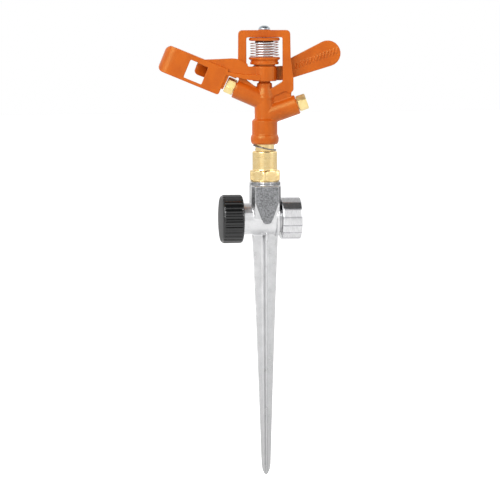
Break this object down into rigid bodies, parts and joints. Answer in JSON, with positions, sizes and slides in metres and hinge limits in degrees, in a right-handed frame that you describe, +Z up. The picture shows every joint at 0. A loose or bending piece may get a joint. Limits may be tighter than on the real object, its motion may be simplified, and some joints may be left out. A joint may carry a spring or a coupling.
{
  "type": "impact sprinkler on spike",
  "caption": "Impact sprinkler: orange plastic head with brass nozzles and a sprung impact arm, on a brass bearing and a cast spike with a flow-through hose tube.",
  "frame": {"origin": "tip of the ground spike, on the axis that the head turns on", "axes": "+Z up along the spike and the head's axis, +X along the hose tube towards the inlet swivel, and the screw cap at -X"},
  "size_m": [0.141, 0.0376, 0.3499],
  "materials": {
    "cast_zinc": "satin die-cast",
    "turned_zinc": "satin",
    "brass": "satin",
    "steel": "bright",
    "orange_plastic": "satin moulded",
    "black_plastic": "fine moulded grain",
    "rubber": "matt",
    "nylon": "matt"
  },
  "bodies": {
    "base": {"spike_casting": "cast_zinc", "swivel_retaining_ring": "steel", "bearing_nipple": "brass"},
    "inlet": {"hose_swivel": "turned_zinc", "hose_washer": "rubber"},
    "cap_seal": {"end_cap_washer": "rubber"},
    "cap": {"end_cap": "black_plastic"},
    "head": {"bearing_spindle": "brass", "bearing_seal_washer": "rubber", "bearing_slip_washer": "nylon", "bearing_spring": "steel", "head_body": "orange_plastic", "drive_nozzle": "brass", "drive_nozzle_seal": "rubber", "spreader_nozzle": "brass", "spreader_nozzle_seal": "rubber", "pivot_screw": "steel", "upper_spring_seat": "orange_plastic", "spring_seat_washer": "rubber", "arm_thrust_washer": "nylon"},
    "arm": {"impact_arm": "orange_plastic", "lower_arm_bush": "brass", "upper_arm_bush": "brass", "spring_sleeve": "nylon", "spring_cup": "orange_plastic", "arm_spring": "steel"}
  },
  "joints": [
    {"name": "head_spin", "type": "hinge", "parent": "base", "child": "head", "pos_m": [0, 0, 0.2583], "axis": [0, 0, 1], "continuous": true},
    {"name": "arm_swing", "type": "hinge", "parent": "head", "child": "arm", "pos_m": [0, 0, 0.3127], "axis": [0, 0, 1], "range_deg": [0, 110], "stiffness_Nm_per_rad": 0.02, "springref_deg": -20.05},
    {"name": "inlet_spin", "type": "hinge", "parent": "base", "child": "inlet", "pos_m": [0.02, 0, 0.2004], "axis": [1, 0, 0], "continuous": true},
    {"name": "cap_slide", "type": "slide", "parent": "base", "child": "cap_seal", "axis": [-1, 0, 0], "range_m": [-0.0018, 0.008]},
    {"name": "cap_turn", "type": "hinge", "parent": "cap_seal", "child": "cap", "pos_m": [-0.026, 0, 0.2004], "axis": [-1, 0, 0], "range_deg": [-293.3, 1303.7]}
  ],
  "couplings": [
    {"joint": "cap_turn", "follows": "cap_slide", "rad_per_m": 2844.4}
  ]
}
